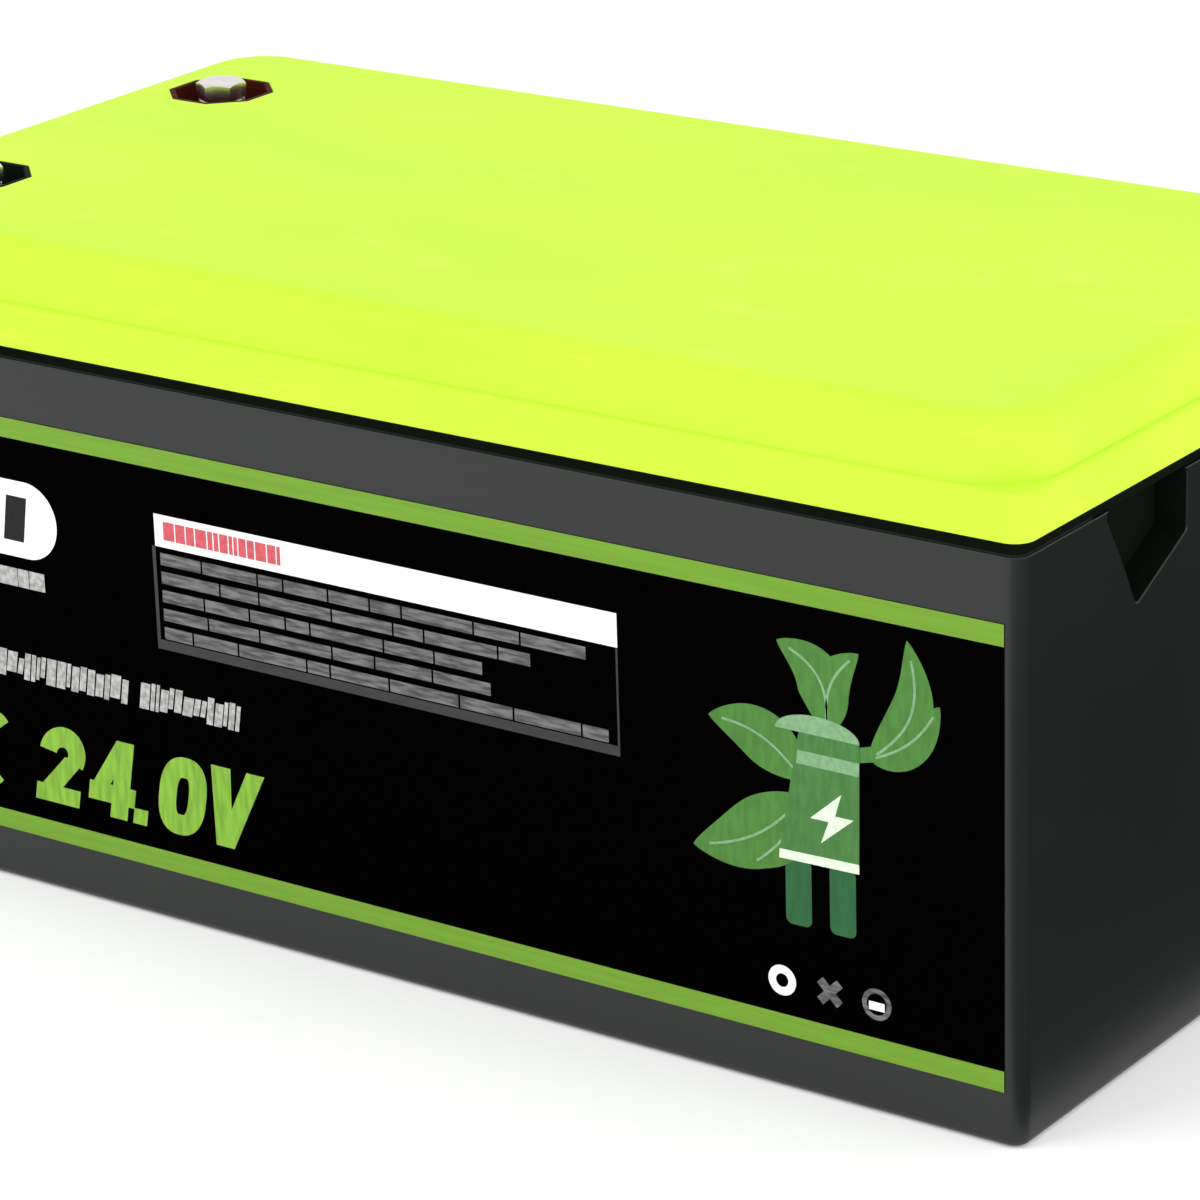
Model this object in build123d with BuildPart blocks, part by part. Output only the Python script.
from build123d import *
import os
from math import atan2, degrees, hypot

# Deep cycle battery in a two-part plastic case. A black tub is closed by a lime lid with two
# recessed screw terminals. Inside, eight lithium iron phosphate cells stand in two banks of
# four, joined in series, and a management board hangs in the bay below the terminals.
# Millimetres. +Z is up, +X runs along the length and the label faces -Y. The origin is the
# middle of the underside.

# Overall sizes
case_length = 520.0          # over the lid skirt, along X
case_width = 270.0           # over the lid skirt, along Y
case_height = 244.0          # underside to the top face of the lid

# Tub
tub_wall = 4.0
tub_floor = 5.0
tub_corner = 6.0             # radius of the upright corners
tub_foot_radius = 3.0        # radius round the bottom edge
skirt_overhang = 1.5         # how far the lid skirt stands out past the tub wall
rim_height = 16.5            # thin rim above the shoulder, partly inside the lid
shoulder_edge = 0.3          # chamfer round the shoulder
rib_thickness = 3.0          # upright ribs on the long walls that steady the cells
rib_count = 5
rib_gap = 0.5                # between a rib and the steel bands

# Grip pockets in the end walls, under the lid
pocket_depth = 12.0
pocket_wall = 3.5
pocket_inner_y = 29.0        # upright inner edge, from the middle of the end wall
pocket_tip_y = 61.5
pocket_elbow_y = 71.0
pocket_outer_y = 82.5
pocket_inner_drop = 21.5     # height of the upright inner edge
pocket_elbow_drop = 19.0
pocket_tip_drop = 37.0
pocket_rounding = 2.0
pocket_edge = 0.4            # chamfer round the mouth

# Lid
lid_depth = 38.0             # lower edge to top face
lid_tier_height = 16.0       # height of the lower, wider tier
lid_step = 2.5               # the upper tier stands in by this much
lid_upper_corner = 26.0      # plan radius of the upper tier
lid_draft = 3.0              # degrees
lid_top_radius = 8.0
lid_tier_radius = 2.2
lid_wall = 3.5
skirt_wall = 2.6
skirt_gap = 0.3              # between the skirt or the tongue and the rim
skirt_lift = 5.0             # shadow gap between the shoulder and the skirt's lower edge
lid_hem_radius = 0.5         # round the skirt's lower edge
seal_thickness = 2.5
tongue_wall = 2.2
tongue_length = 10.0

# Terminals
terminal_inset = 39.0        # axis to the left end of the lid skirt
terminal_spacing = 141.0
well_width = 38.6            # octagon, across flats
well_depth = 12.0
octagon_turn = 22.5          # degrees, puts flats square to the lid's sides
well_edge = 0.3              # chamfer round the octagonal edges
cup_wall = 2.0
cup_floor = 4.0
cup_gap = 0.15
flange_overhang = 3.7        # past each flat of the cup
flange_thickness = 2.5
post_radius = 10.0
post_drop = 7.0              # post face below the lid's top face
post_shank_radius = 7.0
post_shank_gap = 0.15
post_seal_thickness = 1.5
post_seal_radius = 9.5
post_shank_length = 19.0     # below the well floor
post_nut_width = 21.0
post_nut_height = 8.0

# Terminal bolts, M10 x 20, with captive washers
bolt_radius = 4.95
bolt_length = 20.0
bolt_head_width = 17.0
bolt_head_height = 6.4
bolt_head_chamfer = 1.0
bolt_end_chamfer = 0.8
bolt_fit = 0.05              # radial, in the post
bolt_bottom_gap = 2.5        # below the bolt's end in the blind hole
washer_radius = 10.0
washer_thickness = 2.0
spring_radius = 9.05
spring_thickness = 2.5
spring_slit = 1.5
spring_slit_turn = 20.0      # degrees, so that the ends pass each other
washer_gap = 0.15
seat_gap = 0.02              # between clamped faces that part when the bolt is undone

# Cells, two to a row
row_count = 4
bay_length = 148.5           # bay for the management board, at the left end
bank_end_gap = 2.0           # between the cells and the pocket at the right end
bank_side_gap = 10.0         # between the end plates and the long walls
end_plate_thickness = 8.0
separator_thickness = 1.0
divider_thickness = 2.0
pad_thickness = 3.0
cell_headroom = 32.5         # cell top to the underside of the lid
cell_corner = 3.0
cell_edge = 1.0
cell_terminal_inset = 26.0   # terminal axis to the cell's end
cell_pad_radius = 9.0
cell_pad_height = 3.0
stud_radius = 3.0
stud_length = 10.0
vent_length = 24.0
vent_width = 12.0
vent_depth = 0.6
band_thickness = 1.0
band_width = 16.0
band_low = 45.0              # above the cell's underside
band_high = 135.0
end_plate_drop = 6.0         # end plates stop this far below the cell tops
foam_width = 16.0
foam_margin = 45.0

# Conductors
link_thickness = 3.0
link_width = 20.0
bar_width = 22.0
bar_bend = 6.0
bar_spacing = 14.0           # between the two negative bars at the board
stud_gap = 0.2
link_nut_width = 10.0
link_nut_height = 5.0
link_flange_radius = 6.5
link_flange_height = 1.0

# Sensing board on top of the cells
sense_thickness = 1.6
sense_margin = 4.0
sense_hole_gap = 1.0
sense_pad_size = 8.0
sense_pad_offset = 15.0
ribbon_width = 20.0
ribbon_thickness = 0.5
ribbon_overlap = 6.0
ribbon_bend = 8.0

# Management board, upright beside the cells
tray_thickness = 4.0
tray_drop = 3.0              # below the cell tops
tray_margin = 4.0
standoff_length = 6.0
standoff_radius = 3.5
board_thickness = 2.0
board_height = 130.0
board_drop = 18.0            # board's top edge below the cell tops
board_margin = 22.0          # board past the last row of cells
board_hole_inset = 5.0
board_screw_radius = 2.0
board_screw_head_radius = 3.6
board_screw_head_height = 2.4
bar_bolt_drop = 16.0         # bar bolts below the board's top edge
bar_foot = 12.0              # bar past its bolt
bar_bolt_head_width = 10.0
bar_bolt_head_height = 4.0
bar_bolt_nut_height = 5.0
socket_width = 30.0
socket_depth = 8.0
socket_height = 10.0
plug_height = 8.0
plug_margin = 2.0
transistor_width = 10.0
transistor_height = 15.0
transistor_thickness = 4.5
transistor_count = 8         # in each of two rows
transistor_pitch = 17.0
transistor_row_pitch = 24.0
heatsink_base = 4.0
heatsink_fin_height = 12.0
heatsink_fin_thickness = 2.0
heatsink_fin_count = 13
heatsink_margin = 6.0
heatsink_height = 50.0
heatsink_rise = 14.0         # heatsink's lower edge above the board's
shunt_count = 4
shunt_length = 14.0
shunt_width = 6.0
shunt_thickness = 2.0
shunt_pitch = 14.0
shunt_drop = 44.0            # below the board's top edge

# Label on the front wall
label_margin = 6.2           # label edge to the end of the tub
label_bottom = 19.5
label_height = 159.5
label_thickness = 0.3

# Worked out from the sizes above
tub_x = case_length / 2 - skirt_overhang
tub_y = case_width / 2 - skirt_overhang
inner_x = tub_x - tub_wall
inner_y = tub_y - tub_wall
lid_edge_z = case_height - lid_depth
shoulder_z = lid_edge_z - skirt_lift
rim_top_z = shoulder_z + rim_height
land_z = rim_top_z + seal_thickness
tier_z = lid_edge_z + lid_tier_height
lid_under_z = case_height - lid_wall
skirt_x = case_length / 2 - skirt_wall
skirt_y = case_width / 2 - skirt_wall
rim_x = skirt_x - skirt_gap
rim_y = skirt_y - skirt_gap
skirt_corner = tub_corner + skirt_overhang
tongue_x = inner_x - skirt_gap
tongue_y = inner_y - skirt_gap
tongue_z = land_z - tongue_length
hollow_x = tongue_x - tongue_wall
hollow_y = tongue_y - tongue_wall
hollow_corner = lid_upper_corner - (case_length / 2 - lid_step - hollow_x)

terminal_x = terminal_inset - case_length / 2
terminal_y = terminal_spacing / 2
well_floor_z = case_height - well_depth
cup_bottom_z = well_floor_z - cup_floor
post_top_z = case_height - post_drop
bar_z = cup_bottom_z - link_thickness
washer_z = post_top_z + seat_gap
spring_z = washer_z + washer_thickness
bolt_head_z = spring_z + spring_thickness + seat_gap
bolt_end_z = bolt_head_z - bolt_length

bank_left = bay_length - inner_x
bank_right = tub_x - pocket_depth - pocket_wall - bank_end_gap
bank_length = bank_right - bank_left
bank_x = (bank_left + bank_right) / 2
bank_half_y = inner_y - bank_side_gap
cell_width = (bank_length - divider_thickness) / 2
cells_half_y = bank_half_y - end_plate_thickness
cell_thickness = (2 * cells_half_y - (row_count - 1) * separator_thickness) / row_count
row_pitch = cell_thickness + separator_thickness
row_y = [row_pitch * ((row_count - 1) / 2 - row) for row in range(row_count)]
cell_bottom_z = tub_floor + pad_thickness
cell_top_z = lid_under_z - cell_headroom
cell_height = cell_top_z - cell_bottom_z
column_x = [bank_x - (cell_width + divider_thickness) / 2,
            bank_x + (cell_width + divider_thickness) / 2]
cell_terminal_x = cell_width / 2 - cell_terminal_inset
left_x, inner_left_x = column_x[0] - cell_terminal_x, column_x[0] + cell_terminal_x
inner_right_x, right_x = column_x[1] - cell_terminal_x, column_x[1] + cell_terminal_x
link_z = cell_top_z + cell_pad_height
nut_z = link_z + link_thickness
sense_top_z = cell_top_z + sense_thickness

tray_x = bank_left - band_thickness
standoff_x = tray_x - tray_thickness
board_x = standoff_x - standoff_length
board_face_x = board_x - board_thickness
board_top_z = cell_top_z - board_drop
board_half_y = row_y[0] + board_margin
bar_bolt_z = board_top_z - bar_bolt_drop
output_y = row_y[3] + bar_width + bar_spacing
transistor_z = board_top_z - board_height + heatsink_rise + heatsink_height / 2
mid_bar_x = board_face_x - link_thickness / 2


def pocket_outline(flip):
    """Corners of a grip pocket on an end wall: (across, height)."""
    return [(flip * pocket_inner_y, shoulder_z),
            (flip * pocket_inner_y, shoulder_z - pocket_inner_drop),
            (flip * pocket_tip_y, shoulder_z - pocket_tip_drop),
            (flip * pocket_elbow_y, shoulder_z - pocket_elbow_drop),
            (flip * pocket_outer_y, shoulder_z)]


# Tub: moulded box with a thin rim, steadying ribs and a grip pocket near each corner
with BuildPart() as case_tub:
    with BuildSketch():
        RectangleRounded(2 * tub_x, 2 * tub_y, tub_corner)
    extrude(amount=shoulder_z)
    fillet(case_tub.faces().sort_by(Axis.Z)[0].edges(), tub_foot_radius)
    chamfer(case_tub.faces().sort_by(Axis.Z)[-1].edges(), shoulder_edge)
    with BuildSketch(Plane.XY.offset(shoulder_z)):
        RectangleRounded(2 * rim_x, 2 * rim_y, skirt_corner - skirt_wall - skirt_gap)
    extrude(amount=rim_height)
    with BuildSketch(Plane.XY.offset(tub_floor)):
        RectangleRounded(2 * inner_x, 2 * inner_y, tub_corner - tub_wall)
    extrude(amount=rim_top_z - tub_floor, mode=Mode.SUBTRACT)
    rib_depth = bank_side_gap - band_thickness - rib_gap
    with BuildSketch(Plane.XY.offset(tub_floor)):
        for side in (1, -1):
            with Locations((bank_x, side * (inner_y - rib_depth / 2))):
                with GridLocations(bank_length / rib_count, 0, rib_count, 1):
                    Rectangle(rib_thickness, rib_depth)
    extrude(amount=cell_height - end_plate_drop)
    for end in (1, -1):
        for flip in (1, -1):
            with BuildSketch(Plane.YZ.offset(end * (tub_x - pocket_depth - pocket_wall))):
                with BuildLine():
                    Polyline(*pocket_outline(flip), close=True)
                make_face()
                offset(amount=pocket_wall)
            extrude(amount=end * (pocket_depth + pocket_wall - tub_wall / 2))
            with BuildSketch(Plane.YZ.offset(end * (tub_x - pocket_depth))) as pocket:
                with BuildLine():
                    Polyline(*pocket_outline(flip), close=True)
                make_face()
                fillet(pocket.vertices().filter_by_position(Axis.Z, 0, shoulder_z - pocket_rounding),
                       pocket_rounding)
            extrude(amount=end * pocket_depth, mode=Mode.SUBTRACT)
    mouths = case_tub.edges().filter_by(lambda edge: abs(abs(edge.center().X) - tub_x) < pocket_edge / 8
                                        and abs(edge.center().Y) < pocket_outer_y
                                        and shoulder_z - pocket_tip_drop < edge.center().Z
                                        < shoulder_z - 2 * shoulder_edge)
    chamfer(mouths, pocket_edge)

# Lid: two-tier cover with an outer skirt, an inner tongue and an octagonal hole per terminal
with BuildPart() as lid:
    with BuildSketch(Plane.XY.offset(lid_edge_z)):
        RectangleRounded(case_length, case_width, skirt_corner)
    extrude(amount=lid_tier_height)
    fillet(lid.faces().sort_by(Axis.Z)[-1].edges(), lid_tier_radius)
    fillet(lid.faces().sort_by(Axis.Z)[0].edges(), lid_hem_radius)
    with BuildSketch(Plane.XY.offset(tier_z)):
        RectangleRounded(case_length - 2 * lid_step, case_width - 2 * lid_step, lid_upper_corner)
    extrude(amount=case_height - tier_z, taper=lid_draft)
    fillet(lid.faces().sort_by(Axis.Z)[-1].edges(), lid_top_radius)
    with BuildSketch(Plane.XY.offset(lid_edge_z)):
        RectangleRounded(2 * skirt_x, 2 * skirt_y, skirt_corner - skirt_wall)
    extrude(amount=land_z - lid_edge_z, mode=Mode.SUBTRACT)
    with BuildSketch(Plane.XY.offset(tongue_z)):
        RectangleRounded(2 * tongue_x, 2 * tongue_y, tub_corner - tub_wall)
    extrude(amount=tongue_length)
    with BuildSketch(Plane.XY.offset(tongue_z)):
        RectangleRounded(2 * hollow_x, 2 * hollow_y, hollow_corner)
    extrude(amount=lid_under_z - tongue_z, taper=lid_draft, mode=Mode.SUBTRACT)
    with BuildSketch(Plane.XY.offset(lid_under_z)):
        with GridLocations(0, terminal_spacing, 1, 2):
            with Locations((terminal_x, 0)):
                RegularPolygon(well_width / 2 + cup_gap, 8, major_radius=False, rotation=octagon_turn)
    extrude(amount=lid_wall, mode=Mode.SUBTRACT)
    chamfer([edge for wire in lid.faces().sort_by(Axis.Z)[-1].inner_wires() for edge in wire.edges()],
            well_edge)

# Lid seal: rubber ring squeezed between the rim and the lid
with BuildPart() as lid_seal:
    with BuildSketch(Plane.XY.offset(rim_top_z)):
        RectangleRounded(2 * rim_x, 2 * rim_y, skirt_corner - skirt_wall - skirt_gap)
        RectangleRounded(2 * inner_x, 2 * inner_y, tub_corner - tub_wall, mode=Mode.SUBTRACT)
    extrude(amount=seal_thickness)

# Label: printed film on the front wall
with BuildPart() as front_label:
    with BuildSketch(Plane.XZ.offset(tub_y)):
        with Locations((0, label_bottom + label_height / 2)):
            Rectangle(2 * (tub_x - label_margin), label_height)
    extrude(amount=label_thickness)


def terminal_cup(y):
    """Insulating octagonal cup, glued up into the lid, with a hole for the post."""
    with BuildPart() as cup:
        with BuildSketch(Plane((terminal_x, y, cup_bottom_z))):
            RegularPolygon(well_width / 2, 8, major_radius=False, rotation=octagon_turn)
        extrude(amount=case_height - cup_bottom_z)
        with BuildSketch(Plane((terminal_x, y, lid_under_z - flange_thickness))):
            RegularPolygon(well_width / 2 + flange_overhang, 8, major_radius=False, rotation=octagon_turn)
        extrude(amount=flange_thickness)
        with BuildSketch(Plane((terminal_x, y, well_floor_z))):
            RegularPolygon(well_width / 2 - cup_wall, 8, major_radius=False, rotation=octagon_turn)
        extrude(amount=well_depth, mode=Mode.SUBTRACT)
        chamfer(cup.faces().sort_by(Axis.Z)[-1].edges(), well_edge)
        with BuildSketch(Plane((terminal_x, y, cup_bottom_z))):
            Circle(post_shank_radius + post_shank_gap)
        extrude(amount=cup_floor, mode=Mode.SUBTRACT)
    return cup


def terminal_post(y):
    """Plated post with a wide head in the well and a blind threaded hole from its top."""
    head_z = well_floor_z + post_seal_thickness
    with BuildPart() as post:
        with BuildSketch(Plane((terminal_x, y, well_floor_z - post_shank_length))):
            Circle(post_shank_radius)
        extrude(amount=head_z - well_floor_z + post_shank_length)
        with BuildSketch(Plane((terminal_x, y, head_z))):
            Circle(post_radius)
        extrude(amount=post_top_z - head_z)
        with BuildSketch(Plane((terminal_x, y, bolt_end_z - bolt_bottom_gap))):
            Circle(bolt_radius + bolt_fit)
        extrude(amount=post_top_z - bolt_end_z + bolt_bottom_gap, mode=Mode.SUBTRACT)
    return post


def flat_washer(y):
    """Plain washer on the post's face."""
    with BuildPart() as washer:
        with BuildSketch(Plane((terminal_x, y, washer_z))):
            Circle(washer_radius)
            Circle(bolt_radius + washer_gap, mode=Mode.SUBTRACT)
        extrude(amount=washer_thickness)
    return washer


def spring_washer(y):
    """Split ring between the plain washer and the bolt head."""
    with BuildPart() as spring:
        with BuildSketch(Plane((terminal_x, y, spring_z))):
            Circle(spring_radius)
            Circle(bolt_radius + washer_gap, mode=Mode.SUBTRACT)
            with Locations((spring_radius, 0)):
                Rectangle(spring_radius, spring_slit, rotation=spring_slit_turn, mode=Mode.SUBTRACT)
        extrude(amount=spring_thickness)
    return spring


def terminal_bolt(y):
    """Hexagon-head bolt: chamfered head above a plain-sided thread."""
    crown = bolt_head_width / 2
    rim = bolt_head_width / 3 ** 0.5
    with BuildPart() as bolt:
        with BuildSketch(Plane((terminal_x, y, bolt_head_z))):
            RegularPolygon(crown, 6, major_radius=False)
        extrude(amount=bolt_head_height)
        with BuildSketch(Plane((terminal_x, y, bolt_head_z), x_dir=(1, 0, 0), z_dir=(0, -1, 0))):
            with BuildLine():
                Polyline((0, 0), (rim, 0), (rim, bolt_head_height - bolt_head_chamfer),
                         (crown - bolt_head_chamfer / 2, bolt_head_height),
                         (0, bolt_head_height), close=True)
            make_face()
        revolve(axis=Axis((terminal_x, y, 0), (0, 0, 1)), mode=Mode.INTERSECT)
        with BuildSketch(Plane((terminal_x, y, bolt_end_z))):
            Circle(bolt_radius)
        extrude(amount=bolt_length)
        chamfer(bolt.edges().sort_by(Axis.Z)[0], bolt_end_chamfer)
    return bolt


positive_cup, negative_cup = terminal_cup(terminal_y), terminal_cup(-terminal_y)
positive_post, negative_post = terminal_post(terminal_y), terminal_post(-terminal_y)
positive_flat_washer, negative_flat_washer = flat_washer(terminal_y), flat_washer(-terminal_y)
positive_spring_washer = spring_washer(terminal_y)
negative_spring_washer = spring_washer(-terminal_y)
positive_bolt, negative_bolt = terminal_bolt(terminal_y), terminal_bolt(-terminal_y)

# Post seals: flat rubber rings under the post heads
with BuildPart() as post_seals:
    with BuildSketch(Plane((terminal_x, 0, well_floor_z))):
        with GridLocations(0, terminal_spacing, 1, 2):
            Circle(post_seal_radius)
            Circle(post_shank_radius, mode=Mode.SUBTRACT)
    extrude(amount=post_seal_thickness)

# Post nuts: thin hexagon nuts that clamp the bars under the cups
with BuildPart() as post_nuts:
    with BuildSketch(Plane((terminal_x, 0, bar_z - post_nut_height))):
        with GridLocations(0, terminal_spacing, 1, 2):
            RegularPolygon(post_nut_width / 2, 6, major_radius=False)
            Circle(post_shank_radius, mode=Mode.SUBTRACT)
    extrude(amount=post_nut_height)

# Bottom pad: foam sheet that the cells stand on
with BuildPart() as bottom_pad:
    with BuildSketch(Plane((bank_x, 0, tub_floor))):
        Rectangle(bank_length, 2 * bank_half_y)
    extrude(amount=pad_thickness)


def cell(x, y):
    """Prismatic cell: rounded can, two terminal pads with studs, and a shallow vent."""
    with BuildPart() as can:
        with BuildSketch(Plane((x, y, cell_bottom_z))):
            RectangleRounded(cell_width, cell_thickness, cell_corner)
        extrude(amount=cell_height)
        fillet(can.faces().sort_by(Axis.Z)[-1].edges(), cell_edge)
        with BuildSketch(Plane((x, y, cell_top_z))):
            SlotOverall(vent_length, vent_width)
        extrude(amount=-vent_depth, mode=Mode.SUBTRACT)
        with BuildSketch(Plane((x, y, cell_top_z))):
            with GridLocations(2 * cell_terminal_x, 0, 2, 1):
                Circle(cell_pad_radius)
        extrude(amount=cell_pad_height)
        with BuildSketch(Plane((x, y, link_z))):
            with GridLocations(2 * cell_terminal_x, 0, 2, 1):
                Circle(stud_radius)
        extrude(amount=stud_length)
    return can


cells = [cell(x, y) for x in column_x for y in row_y]

# Separators: insulating sheets between the cells of a bank
with BuildPart() as cell_separators:
    with BuildSketch(Plane((bank_x, 0, cell_bottom_z))):
        with GridLocations(cell_width + divider_thickness, row_pitch, 2, row_count - 1):
            Rectangle(cell_width, separator_thickness)
    extrude(amount=cell_height)

# Divider: insulating sheet between the two banks
with BuildPart() as bank_divider:
    with BuildSketch(Plane((bank_x, 0, cell_bottom_z))):
        Rectangle(divider_thickness, 2 * cells_half_y)
    extrude(amount=cell_height)


def end_plate(side):
    """Stiff plate along a long side of both banks."""
    with BuildPart() as plate:
        with BuildSketch(Plane((bank_x, side * (bank_half_y - end_plate_thickness / 2),
                                cell_bottom_z))):
            Rectangle(bank_length, end_plate_thickness)
        extrude(amount=cell_height - end_plate_drop)
    return plate


front_end_plate, back_end_plate = end_plate(-1), end_plate(1)

# Bands: two steel straps round both banks
with BuildPart() as bank_bands:
    for height in (band_low, band_high):
        with BuildSketch(Plane((bank_x, 0, cell_bottom_z + height))):
            Rectangle(bank_length + 2 * band_thickness, 2 * (bank_half_y + band_thickness))
            Rectangle(bank_length, 2 * bank_half_y, mode=Mode.SUBTRACT)
        extrude(amount=band_width)

# Sensing board: thin circuit board on the cell tops, with holes for the pads and vents
with BuildPart() as sense_board:
    with BuildSketch(Plane((bank_x, 0, cell_top_z))):
        Rectangle(bank_length - 2 * sense_margin, 2 * (row_y[0] + link_width / 2 + sense_margin))
        for x in column_x:
            with Locations((x - bank_x, 0)):
                with GridLocations(2 * cell_terminal_x, row_pitch, 2, row_count):
                    Circle(cell_pad_radius + sense_hole_gap, mode=Mode.SUBTRACT)
                with GridLocations(0, row_pitch, 1, row_count):
                    SlotOverall(vent_length, vent_width, mode=Mode.SUBTRACT)
    extrude(amount=sense_thickness)

# Series links: cross links join the two banks, row links join neighbours in one bank
cross_ends = (inner_left_x, inner_right_x)
link_ends = [((cross_ends[0], row_y[0]), (cross_ends[1], row_y[0])),
             ((right_x, row_y[0]), (right_x, row_y[1])),
             ((cross_ends[0], row_y[1]), (cross_ends[1], row_y[1])),
             ((left_x, row_y[1]), (left_x, row_y[2])),
             ((cross_ends[0], row_y[2]), (cross_ends[1], row_y[2])),
             ((right_x, row_y[2]), (right_x, row_y[3])),
             ((cross_ends[0], row_y[3]), (cross_ends[1], row_y[3]))]


def link(start, end):
    """Flat copper strap with round ends and a hole over each stud."""
    middle = ((start[0] + end[0]) / 2, (start[1] + end[1]) / 2)
    span = hypot(end[0] - start[0], end[1] - start[1])
    turn = degrees(atan2(end[1] - start[1], end[0] - start[0]))
    with BuildPart() as strap:
        with BuildSketch(Plane.XY.offset(link_z)):
            with Locations(middle):
                SlotCenterToCenter(span, link_width, rotation=turn)
            with Locations(start, end):
                Circle(stud_radius + stud_gap, mode=Mode.SUBTRACT)
        extrude(amount=link_thickness)
    return strap


links = [link(start, end) for start, end in link_ends]

# Sense pads: small springy contacts between the sensing board and each conductor
with BuildPart() as sense_pads:
    with BuildSketch(Plane.XY.offset(sense_top_z)):
        for start, end in link_ends:
            with Locations(((start[0] + end[0]) / 2, (start[1] + end[1]) / 2)):
                Rectangle(sense_pad_size, sense_pad_size)
        with Locations((left_x - sense_pad_offset, row_y[0]), (left_x - sense_pad_offset, row_y[3])):
            Rectangle(sense_pad_size, sense_pad_size)
    extrude(amount=link_z - sense_top_z)

# Link nuts: flanged nuts on every cell stud
with BuildPart() as link_nuts:
    stud_places = [(x + shift, y) for x in column_x for y in row_y
                   for shift in (-cell_terminal_x, cell_terminal_x)]
    with BuildSketch(Plane.XY.offset(nut_z)):
        with Locations(*stud_places):
            Circle(link_flange_radius)
            Circle(stud_radius, mode=Mode.SUBTRACT)
    extrude(amount=link_flange_height)
    with BuildSketch(Plane.XY.offset(nut_z + link_flange_height)):
        with Locations(*stud_places):
            RegularPolygon(link_nut_width / 2, 6, major_radius=False)
            Circle(stud_radius, mode=Mode.SUBTRACT)
    extrude(amount=link_nut_height - link_flange_height)

# Positive bar: copper bar from the first cell up to the positive post, cranked once
with BuildPart() as positive_bar:
    low_z = link_z + link_thickness / 2
    high_z = bar_z + link_thickness / 2
    crank_x = bank_left - band_thickness - tray_thickness
    with BuildSketch(Plane.XZ):
        with BuildLine():
            FilletPolyline((left_x + bar_width, low_z), (crank_x, low_z),
                           (crank_x - bar_width, high_z), (terminal_x - bar_width, high_z),
                           radius=bar_bend)
        trace(line_width=link_thickness)
    extrude(amount=case_width / 2, both=True)
    shift_x, shift_y = left_x - terminal_x, row_y[0] - terminal_y
    with BuildSketch(Plane((left_x - shift_x / 2, row_y[0] - shift_y / 2, link_z))):
        SlotCenterToCenter(hypot(shift_x, shift_y), bar_width,
                           rotation=degrees(atan2(shift_y, shift_x)))
    extrude(amount=cup_bottom_z - link_z, mode=Mode.INTERSECT)
    with BuildSketch(Plane.XY.offset(link_z)):
        with Locations((left_x, row_y[0])):
            Circle(stud_radius + stud_gap)
        with Locations((terminal_x, terminal_y)):
            Circle(post_shank_radius + post_shank_gap)
    extrude(amount=cup_bottom_z - link_z, mode=Mode.SUBTRACT)

# Pack negative bar: from the last cell over the edge of the bank, down to the board
with BuildPart() as pack_negative_bar:
    with BuildSketch(Plane.XZ.offset(-row_y[3])):
        with BuildLine():
            FilletPolyline((left_x + bar_width / 2, link_z + link_thickness / 2),
                           (mid_bar_x, link_z + link_thickness / 2),
                           (mid_bar_x, bar_bolt_z - bar_foot), radius=bar_bend)
        trace(line_width=link_thickness)
    extrude(amount=bar_width / 2, both=True)
    with BuildSketch(Plane((left_x, row_y[3], link_z))):
        Circle(stud_radius + stud_gap)
    extrude(amount=link_thickness, mode=Mode.SUBTRACT)
    with BuildSketch(Plane.YZ.offset(board_face_x)):
        with Locations((row_y[3], bar_bolt_z)):
            Circle(stud_radius + stud_gap)
    extrude(amount=-link_thickness, mode=Mode.SUBTRACT)

# Output negative bar: from the negative post across the bay and down to the board
with BuildPart() as output_negative_bar:
    with BuildSketch(Plane.XZ):
        with BuildLine():
            FilletPolyline((terminal_x - bar_width, bar_z + link_thickness / 2),
                           (mid_bar_x, bar_z + link_thickness / 2),
                           (mid_bar_x, bar_bolt_z - bar_foot), radius=bar_bend)
        trace(line_width=link_thickness)
    extrude(amount=case_width / 2, both=True)
    with BuildSketch(Plane.XY.offset(bar_bolt_z - bar_foot)):
        with Locations((terminal_x, -terminal_y)):
            Circle(bar_width / 2)
        with BuildLine():
            Polyline((terminal_x, -terminal_y - bar_width / 2), (terminal_x, -terminal_y + bar_width / 2),
                     (mid_bar_x - bar_bend, output_y + bar_width / 2),
                     (board_face_x, output_y + bar_width / 2),
                     (board_face_x, output_y - bar_width / 2),
                     (mid_bar_x - bar_bend, output_y - bar_width / 2), close=True)
        make_face()
    extrude(amount=cup_bottom_z - bar_bolt_z + bar_foot, mode=Mode.INTERSECT)
    with BuildSketch(Plane((terminal_x, -terminal_y, bar_z))):
        Circle(post_shank_radius + post_shank_gap)
    extrude(amount=link_thickness, mode=Mode.SUBTRACT)
    with BuildSketch(Plane.YZ.offset(board_face_x)):
        with Locations((output_y, bar_bolt_z)):
            Circle(stud_radius + stud_gap)
    extrude(amount=-link_thickness, mode=Mode.SUBTRACT)

# Top foam: two strips on the sensing board, under the lid
with BuildPart() as top_foam:
    with BuildSketch(Plane((bank_x, 0, sense_top_z))):
        with GridLocations(0, 2 * row_pitch, 1, 2):
            Rectangle(bank_length - 2 * foam_margin, foam_width)
    extrude(amount=lid_under_z - sense_top_z)

# Board tray: stiff insulating panel against the left end of the bank
with BuildPart() as board_tray:
    with BuildSketch(Plane.YZ.offset(tray_x)):
        with Locations((0, (tub_floor + cell_top_z - tray_drop) / 2)):
            Rectangle(2 * (board_half_y + tray_margin), cell_top_z - tray_drop - tub_floor)
    extrude(amount=-tray_thickness)

board_hole_y = board_half_y - board_hole_inset
board_hole_z = board_height - 2 * board_hole_inset
board_mid_z = board_top_z - board_height / 2
board_bolt_y = (row_y[3], output_y)

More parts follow.
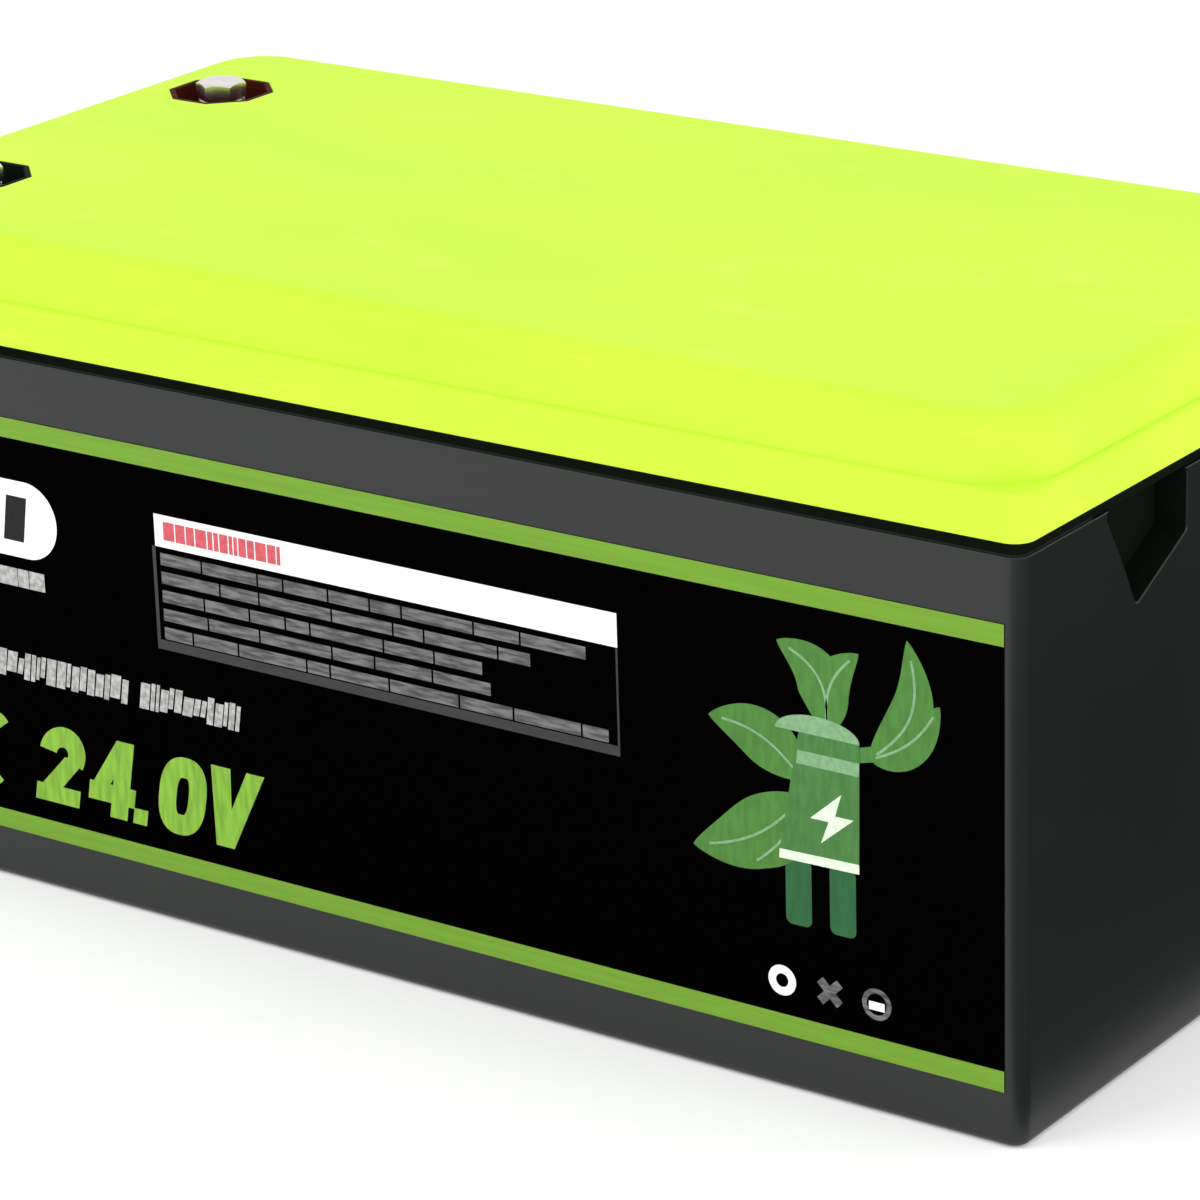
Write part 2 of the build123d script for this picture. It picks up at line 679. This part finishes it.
# Standoffs: spacers between the tray and the board, by the corner holes
with BuildPart() as board_standoffs:
    with BuildSketch(Plane.YZ.offset(standoff_x)):
        with Locations((0, board_mid_z)):
            with GridLocations(2 * board_hole_y, board_hole_z, 2, 2):
                Circle(standoff_radius)
                Circle(board_screw_radius, mode=Mode.SUBTRACT)
    extrude(amount=-standoff_length)

# Management board
with BuildPart() as management_board:
    with BuildSketch(Plane.YZ.offset(board_x)):
        with Locations((0, board_mid_z)):
            Rectangle(2 * board_half_y, board_height)
            with GridLocations(2 * board_hole_y, board_hole_z, 2, 2):
                Circle(board_screw_radius, mode=Mode.SUBTRACT)
        with Locations(*[(y, bar_bolt_z) for y in board_bolt_y]):
            Circle(stud_radius + stud_gap, mode=Mode.SUBTRACT)
    extrude(amount=-board_thickness)

# Board screws: pan heads on the board's face, in the standoffs
with BuildPart() as board_screws:
    for face_x, radius, length in ((board_face_x, board_screw_head_radius, -board_screw_head_height),
                                   (board_face_x, board_screw_radius, standoff_length)):
        with BuildSketch(Plane.YZ.offset(face_x)):
            with Locations((0, board_mid_z)):
                with GridLocations(2 * board_hole_y, board_hole_z, 2, 2):
                    Circle(radius)
        extrude(amount=length)

# Bar bolts: clamp the two negative bars to the board
with BuildPart() as bar_bolts:
    bar_face_x = board_face_x - link_thickness
    with BuildSketch(Plane.YZ.offset(bar_face_x)):
        with Locations(*[(y, bar_bolt_z) for y in board_bolt_y]):
            RegularPolygon(bar_bolt_head_width / 2, 6, major_radius=False)
    extrude(amount=-bar_bolt_head_height)
    with BuildSketch(Plane.YZ.offset(bar_face_x)):
        with Locations(*[(y, bar_bolt_z) for y in board_bolt_y]):
            Circle(stud_radius)
    extrude(amount=link_thickness + board_thickness + bar_bolt_nut_height)

# Bar nuts: behind the board
with BuildPart() as bar_nuts:
    with BuildSketch(Plane.YZ.offset(board_x)):
        with Locations(*[(y, bar_bolt_z) for y in board_bolt_y]):
            RegularPolygon(bar_bolt_head_width / 2, 6, major_radius=False)
            Circle(stud_radius, mode=Mode.SUBTRACT)
    extrude(amount=bar_bolt_nut_height)

# Socket on the board's top edge, and the plug of the sense ribbon
socket_y = output_y + bar_width / 2 + socket_width
socket_z = board_top_z - socket_height
with BuildPart() as sense_socket:
    with BuildSketch(Plane.YZ.offset(board_face_x)):
        with Locations((socket_y, socket_z + socket_height / 2)):
            Rectangle(socket_width, socket_height)
    extrude(amount=-socket_depth)

ribbon_x = board_face_x - socket_depth / 2
with BuildPart() as sense_plug:
    with BuildSketch(Plane((ribbon_x, socket_y, board_top_z))):
        Rectangle(socket_depth - plug_margin, socket_width - plug_margin)
    extrude(amount=plug_height)

# Sense ribbon: flat cable from the sensing board over the bank's edge to the plug
with BuildPart() as sense_ribbon:
    ribbon_z = sense_top_z + ribbon_thickness / 2
    with BuildSketch(Plane.XZ.offset(-socket_y)):
        with BuildLine():
            FilletPolyline((bank_left + sense_margin + ribbon_overlap, ribbon_z), (ribbon_x, ribbon_z),
                           (ribbon_x, board_top_z + plug_height), radius=ribbon_bend)
        trace(line_width=ribbon_thickness)
    extrude(amount=ribbon_width / 2, both=True)

# Transistors: two rows of power switches, flat on the board
with BuildPart() as board_transistors:
    with BuildSketch(Plane.YZ.offset(board_face_x)):
        with Locations((0, transistor_z)):
            with GridLocations(transistor_pitch, transistor_row_pitch, transistor_count, 2):
                Rectangle(transistor_width, transistor_height)
    extrude(amount=-transistor_thickness)

# Heatsink: finned aluminium plate on the transistors
with BuildPart() as board_heatsink:
    sink_x = board_face_x - transistor_thickness
    sink_width = transistor_pitch * (transistor_count - 1) + transistor_width + 2 * heatsink_margin
    with BuildSketch(Plane.YZ.offset(sink_x)):
        with Locations((0, transistor_z)):
            Rectangle(sink_width, heatsink_height)
    extrude(amount=-heatsink_base)
    with BuildSketch(Plane.YZ.offset(sink_x - heatsink_base)):
        with Locations((0, transistor_z)):
            with GridLocations((sink_width - heatsink_fin_thickness) / (heatsink_fin_count - 1), 0,
                               heatsink_fin_count, 1):
                Rectangle(heatsink_fin_thickness, heatsink_height)
    extrude(amount=-heatsink_fin_height)

# Shunts: current sensing resistors above the heatsink
with BuildPart() as board_shunts:
    with BuildSketch(Plane.YZ.offset(board_face_x)):
        with Locations((output_y, board_top_z - shunt_drop)):
            with GridLocations(shunt_pitch, 0, shunt_count, 1):
                Rectangle(shunt_width, shunt_length)
    extrude(amount=-shunt_thickness)

pieces = {
    "case_tub": case_tub, "lid": lid, "lid_seal": lid_seal, "front_label": front_label,
    "positive_cup": positive_cup, "negative_cup": negative_cup,
    "positive_post": positive_post, "negative_post": negative_post,
    "post_seals": post_seals, "post_nuts": post_nuts,
    "positive_flat_washer": positive_flat_washer, "negative_flat_washer": negative_flat_washer,
    "positive_spring_washer": positive_spring_washer,
    "negative_spring_washer": negative_spring_washer,
    "positive_bolt": positive_bolt, "negative_bolt": negative_bolt,
    "bottom_pad": bottom_pad, "cell_separators": cell_separators, "bank_divider": bank_divider,
    "front_end_plate": front_end_plate, "back_end_plate": back_end_plate,
    "bank_bands": bank_bands, "sense_board": sense_board, "sense_pads": sense_pads,
    "link_nuts": link_nuts, "positive_bar": positive_bar,
    "pack_negative_bar": pack_negative_bar, "output_negative_bar": output_negative_bar,
    "top_foam": top_foam, "board_tray": board_tray, "board_standoffs": board_standoffs,
    "management_board": management_board, "board_screws": board_screws,
    "bar_bolts": bar_bolts, "bar_nuts": bar_nuts, "sense_socket": sense_socket,
    "sense_plug": sense_plug, "sense_ribbon": sense_ribbon,
    "board_transistors": board_transistors, "board_heatsink": board_heatsink,
    "board_shunts": board_shunts,
}
for number, built in enumerate(cells, start=1):
    pieces[f"cell_{number}"] = built
for number, built in enumerate(links, start=1):
    pieces[f"cell_link_{number}"] = built

os.makedirs("parts", exist_ok=True)
for name, built in pieces.items():
    built.part.label = name
    export_step(built.part, f"parts/{name}.step")
